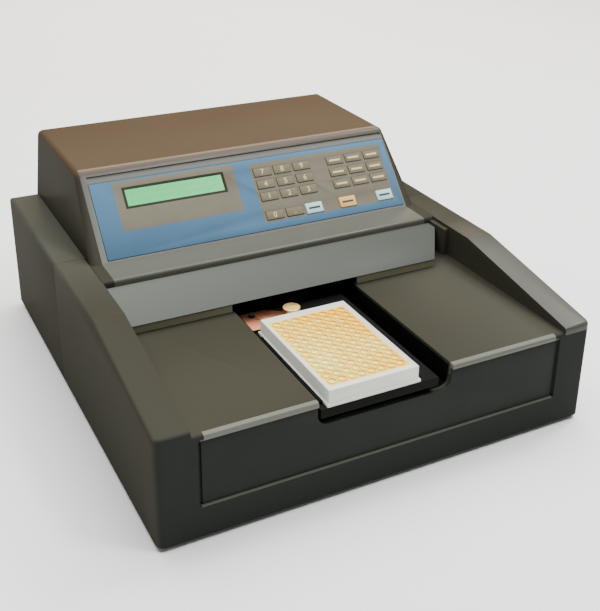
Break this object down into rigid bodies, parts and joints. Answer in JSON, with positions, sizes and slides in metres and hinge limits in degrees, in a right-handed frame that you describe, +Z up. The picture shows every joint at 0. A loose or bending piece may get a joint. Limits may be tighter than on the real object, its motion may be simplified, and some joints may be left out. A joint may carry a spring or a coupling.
{
  "type": "microplate reader",
  "caption": "Bench microplate reader: low case with side wings, a sloping key panel with a display, and a plate carrier that runs into a tunnel under the panel.",
  "frame": {"origin": "on the bench, under the middle of the case", "axes": "+X to the user's right, +Y to the back, +Z up"},
  "size_m": [0.404, 0.444, 0.1942],
  "materials": {
    "case_plastic": "textured moulded plastic",
    "fascia_dark": "satin dark sheet",
    "channel_black": "matt black",
    "hood_plastic": "satin",
    "overlay_blue": "printed satin film",
    "display_lens": "clear window over a lit display",
    "circuit_board": "soldered board",
    "plate_clear": "clear moulded polystyrene",
    "carrier_grey": "satin dark grey",
    "pusher_copper": "copper coloured",
    "roller_brass": "turned",
    "block_aluminium": "milled",
    "rod_steel": "ground",
    "bracket_steel": "folded sheet",
    "pulley_aluminium": "turned",
    "belt_rubber": "matt",
    "motor_black": "satin",
    "bridge_steel": "folded sheet",
    "wheel_aluminium": "black anodised",
    "filter_glass": "coated",
    "lamp_aluminium": "cast, finned",
    "tube_black": "matt",
    "screw_steel": "zinc plated",
    "foot_rubber": "matt",
    "rear_steel": "satin paint",
    "inlet_black": "satin",
    "rocker_black": "gloss",
    "socket_steel": "plated",
    "supply_steel": "folded sheet",
    "tray_steel": "satin paint",
    "key_cream": "printed",
    "key_cyan": "printed",
    "key_orange": "printed"
  },
  "bodies": {
    "case": {"base_tray": "tray_steel", "front_cover": "case_plastic", "rear_cover": "case_plastic", "front_fascia": "fascia_dark", "channel_liner": "channel_black", "tunnel_hood": "hood_plastic", "keypad_overlay": "overlay_blue", "display_window": "display_lens", "panel_board": "circuit_board", "guide_rod": "rod_steel", "drive_brackets": "bracket_steel", "drive_belt": "belt_rubber", "drive_motor": "motor_black", "optics_bridge": "bridge_steel", "filter_motor": "motor_black", "lamp_housing": "lamp_aluminium", "beam_tube": "tube_black", "lens_block": "tube_black", "detector_board": "circuit_board", "cover_screws": "screw_steel", "rubber_feet": "foot_rubber", "rear_panel": "rear_steel", "power_inlet": "inlet_black", "switch_housing": "inlet_black", "data_sockets": "socket_steel", "main_board": "circuit_board", "power_supply": "supply_steel"},
    "carriage": {"plate_carrier": "carrier_grey", "carriage_block": "block_aluminium"},
    "plate": {"microplate": "plate_clear"},
    "pusher": {"plate_pusher": "pusher_copper"},
    "roller": {"pusher_roller": "roller_brass"},
    "front_pulley": {"idler_pulley": "pulley_aluminium"},
    "rear_pulley": {"drive_pulley": "pulley_aluminium"},
    "wheel": {"filter_wheel": "wheel_aluminium", "optical_filters": "filter_glass"},
    "rocker": {"power_rocker": "rocker_black"},
    "key_left_1_1": {"key_left_1_1": "key_cream"},
    "key_left_1_2": {"key_left_1_2": "key_cream"},
    "key_left_1_3": {"key_left_1_3": "key_cream"},
    "key_left_2_1": {"key_left_2_1": "key_cream"},
    "key_left_2_2": {"key_left_2_2": "key_cream"},
    "key_left_2_3": {"key_left_2_3": "key_cream"},
    "key_left_3_1": {"key_left_3_1": "key_cream"},
    "key_left_3_2": {"key_left_3_2": "key_cream"},
    "key_left_3_3": {"key_left_3_3": "key_cream"},
    "key_right_1_1": {"key_right_1_1": "key_cream"},
    "key_right_1_2": {"key_right_1_2": "key_cream"},
    "key_right_1_3": {"key_right_1_3": "key_cream"},
    "key_right_2_1": {"key_right_2_1": "key_cream"},
    "key_right_2_2": {"key_right_2_2": "key_cream"},
    "key_right_2_3": {"key_right_2_3": "key_cream"},
    "key_right_3_1": {"key_right_3_1": "key_cream"},
    "key_right_3_2": {"key_right_3_2": "key_cream"},
    "key_right_3_3": {"key_right_3_3": "key_cream"},
    "key_left_4_1": {"key_left_4_1": "key_cream"},
    "key_left_4_2": {"key_left_4_2": "key_cream"},
    "key_enter": {"key_enter": "key_cyan"},
    "key_stop": {"key_stop": "key_orange"},
    "key_start": {"key_start": "key_cyan"}
  },
  "joints": [
    {"name": "carrier_slide", "type": "slide", "parent": "case", "child": "carriage", "axis": [0, 1, 0], "range_m": [0, 0.258]},
    {"name": "plate_lift", "type": "slide", "parent": "carriage", "child": "plate", "axis": [0, 0, 1], "range_m": [0, 0.005]},
    {"name": "pusher_swing", "type": "hinge", "parent": "carriage", "child": "pusher", "pos_m": [-0.05464, -0.0665, 0.0885], "axis": [0, 0, 1], "range_deg": [0, 10], "stiffness_Nm_per_rad": 0.2, "springref_deg": -2.86},
    {"name": "roller_spin", "type": "hinge", "parent": "pusher", "child": "roller", "pos_m": [-0.0239, -0.08494, 0.094], "axis": [0, 0, 1], "continuous": true},
    {"name": "drive_pulley_spin", "type": "hinge", "parent": "case", "child": "rear_pulley", "pos_m": [0.067, 0.132, 0.057], "axis": [1, 0, 0], "range_deg": [-1700.9, 20]},
    {"name": "idler_pulley_spin", "type": "hinge", "parent": "case", "child": "front_pulley", "pos_m": [0.067, -0.19, 0.057], "axis": [1, 0, 0], "range_deg": [-1700.9, 20]},
    {"name": "filter_wheel_spin", "type": "hinge", "parent": "case", "child": "wheel", "pos_m": [-0.115, 0.1, 0.152], "axis": [0, 1, 0], "continuous": true},
    {"name": "power_switch_rock", "type": "hinge", "parent": "case", "child": "rocker", "pos_m": [-0.116, 0.215, 0.042], "axis": [1, 0, 0], "range_deg": [-9, 9]},
    {"name": "key_left_1_1_press", "type": "slide", "parent": "case", "child": "key_left_1_1", "axis": [0, 0.7532, -0.6578], "range_m": [0, 0.0004], "stiffness_N_per_m": 400},
    {"name": "key_left_1_2_press", "type": "slide", "parent": "case", "child": "key_left_1_2", "axis": [0, 0.7532, -0.6578], "range_m": [0, 0.0004], "stiffness_N_per_m": 400},
    {"name": "key_left_1_3_press", "type": "slide", "parent": "case", "child": "key_left_1_3", "axis": [0, 0.7532, -0.6578], "range_m": [0, 0.0004], "stiffness_N_per_m": 400},
    {"name": "key_left_2_1_press", "type": "slide", "parent": "case", "child": "key_left_2_1", "axis": [0, 0.7532, -0.6578], "range_m": [0, 0.0004], "stiffness_N_per_m": 400},
    {"name": "key_left_2_2_press", "type": "slide", "parent": "case", "child": "key_left_2_2", "axis": [0, 0.7532, -0.6578], "range_m": [0, 0.0004], "stiffness_N_per_m": 400},
    {"name": "key_left_2_3_press", "type": "slide", "parent": "case", "child": "key_left_2_3", "axis": [0, 0.7532, -0.6578], "range_m": [0, 0.0004], "stiffness_N_per_m": 400},
    {"name": "key_left_3_1_press", "type": "slide", "parent": "case", "child": "key_left_3_1", "axis": [0, 0.7532, -0.6578], "range_m": [0, 0.0004], "stiffness_N_per_m": 400},
    {"name": "key_left_3_2_press", "type": "slide", "parent": "case", "child": "key_left_3_2", "axis": [0, 0.7532, -0.6578], "range_m": [0, 0.0004], "stiffness_N_per_m": 400},
    {"name": "key_left_3_3_press", "type": "slide", "parent": "case", "child": "key_left_3_3", "axis": [0, 0.7532, -0.6578], "range_m": [0, 0.0004], "stiffness_N_per_m": 400},
    {"name": "key_right_1_1_press", "type": "slide", "parent": "case", "child": "key_right_1_1", "axis": [0, 0.7532, -0.6578], "range_m": [0, 0.0004], "stiffness_N_per_m": 400},
    {"name": "key_right_1_2_press", "type": "slide", "parent": "case", "child": "key_right_1_2", "axis": [0, 0.7532, -0.6578], "range_m": [0, 0.0004], "stiffness_N_per_m": 400},
    {"name": "key_right_1_3_press", "type": "slide", "parent": "case", "child": "key_right_1_3", "axis": [0, 0.7532, -0.6578], "range_m": [0, 0.0004], "stiffness_N_per_m": 400},
    {"name": "key_right_2_1_press", "type": "slide", "parent": "case", "child": "key_right_2_1", "axis": [0, 0.7532, -0.6578], "range_m": [0, 0.0004], "stiffness_N_per_m": 400},
    {"name": "key_right_2_2_press", "type": "slide", "parent": "case", "child": "key_right_2_2", "axis": [0, 0.7532, -0.6578], "range_m": [0, 0.0004], "stiffness_N_per_m": 400},
    {"name": "key_right_2_3_press", "type": "slide", "parent": "case", "child": "key_right_2_3", "axis": [0, 0.7532, -0.6578], "range_m": [0, 0.0004], "stiffness_N_per_m": 400},
    {"name": "key_right_3_1_press", "type": "slide", "parent": "case", "child": "key_right_3_1", "axis": [0, 0.7532, -0.6578], "range_m": [0, 0.0004], "stiffness_N_per_m": 400},
    {"name": "key_right_3_2_press", "type": "slide", "parent": "case", "child": "key_right_3_2", "axis": [0, 0.7532, -0.6578], "range_m": [0, 0.0004], "stiffness_N_per_m": 400},
    {"name": "key_right_3_3_press", "type": "slide", "parent": "case", "child": "key_right_3_3", "axis": [0, 0.7532, -0.6578], "range_m": [0, 0.0004], "stiffness_N_per_m": 400},
    {"name": "key_left_4_1_press", "type": "slide", "parent": "case", "child": "key_left_4_1", "axis": [0, 0.7532, -0.6578], "range_m": [0, 0.0004], "stiffness_N_per_m": 400},
    {"name": "key_left_4_2_press", "type": "slide", "parent": "case", "child": "key_left_4_2", "axis": [0, 0.7532, -0.6578], "range_m": [0, 0.0004], "stiffness_N_per_m": 400},
    {"name": "key_enter_press", "type": "slide", "parent": "case", "child": "key_enter", "axis": [0, 0.7532, -0.6578], "range_m": [0, 0.0004], "stiffness_N_per_m": 400},
    {"name": "key_stop_press", "type": "slide", "parent": "case", "child": "key_stop", "axis": [0, 0.7532, -0.6578], "range_m": [0, 0.0004], "stiffness_N_per_m": 400},
    {"name": "key_start_press", "type": "slide", "parent": "case", "child": "key_start", "axis": [0, 0.7532, -0.6578], "range_m": [0, 0.0004], "stiffness_N_per_m": 400}
  ],
  "couplings": [
    {"joint": "drive_pulley_spin", "follows": "carrier_slide", "rad_per_m": -112.36},
    {"joint": "idler_pulley_spin", "follows": "carrier_slide", "rad_per_m": -112.36}
  ]
}
